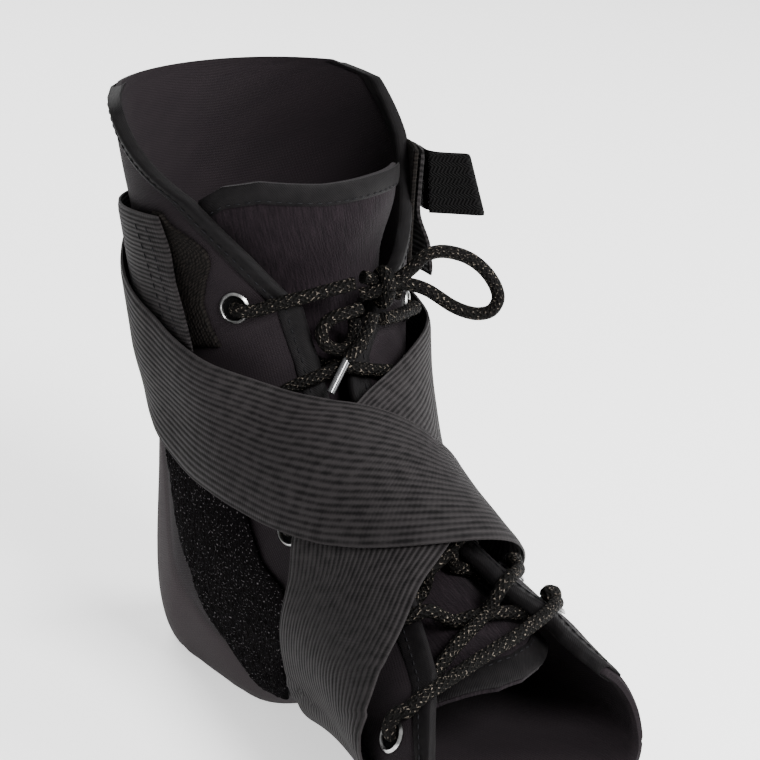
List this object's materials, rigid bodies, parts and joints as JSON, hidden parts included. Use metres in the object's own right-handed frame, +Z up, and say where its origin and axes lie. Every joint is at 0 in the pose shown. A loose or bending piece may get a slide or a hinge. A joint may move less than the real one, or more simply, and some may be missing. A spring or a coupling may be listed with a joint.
{
  "type": "ankle brace",
  "caption": "Lace-up ankle brace with a padded tongue, metal eyelets and figure-of-eight elastic straps.",
  "frame": {"origin": "on the floor under the ankle, on the flat underside of the heel", "axes": "+Z up the leg, -Y towards the toes, -X the inner side of a left foot"},
  "size_m": [0.1039, 0.2013, 0.1761],
  "materials": {
    "neoprene": "matte foam rubber faced with fine knitted fabric, near-black",
    "napped_fabric": "soft brushed nap, purple-black",
    "tape": "smooth folded binding tape, black",
    "webbing": "ribbed elastic webbing, dark grey",
    "loop_pile": "fuzzy loop pile, black",
    "hook_pile": "rough hook pile, dark brown-grey",
    "lace_cord": "round braided cord, black with light flecks",
    "eyelet_metal": "bright pressed metal",
    "aglet_plastic": "clear glossy film"
  },
  "bodies": {
    "root": {"aglet": "aglet_plastic", "bow_knot": "lace_cord", "bow_long_loop": "lace_cord", "bow_short_loop": "lace_cord", "diagonal_strap": "webbing", "inner_binding": "tape", "inner_eyelet_1": "eyelet_metal", "inner_eyelet_2": "eyelet_metal", "inner_eyelet_3": "eyelet_metal", "inner_eyelet_4": "eyelet_metal", "inner_eyelet_5": "eyelet_metal", "inner_eyelet_6": "eyelet_metal", "inner_eyelet_7": "eyelet_metal", "inner_hook_tab": "hook_pile", "inner_loop_patch": "loop_pile", "lace": "lace_cord", "lace_tail": "lace_cord", "outer_binding": "tape", "outer_eyelet_1": "eyelet_metal", "outer_eyelet_2": "eyelet_metal", "outer_eyelet_3": "eyelet_metal", "outer_eyelet_4": "eyelet_metal", "outer_eyelet_5": "eyelet_metal", "outer_eyelet_6": "eyelet_metal", "outer_eyelet_7": "eyelet_metal", "outer_hook_tab": "hook_pile", "outer_loop_patch": "loop_pile", "pull_tab": "tape", "shell": "neoprene", "tongue": "napped_fabric", "tongue_toe_hem": "tape", "tongue_top_hem": "tape", "upright_strap": "webbing"}
  },
  "joints": []
}
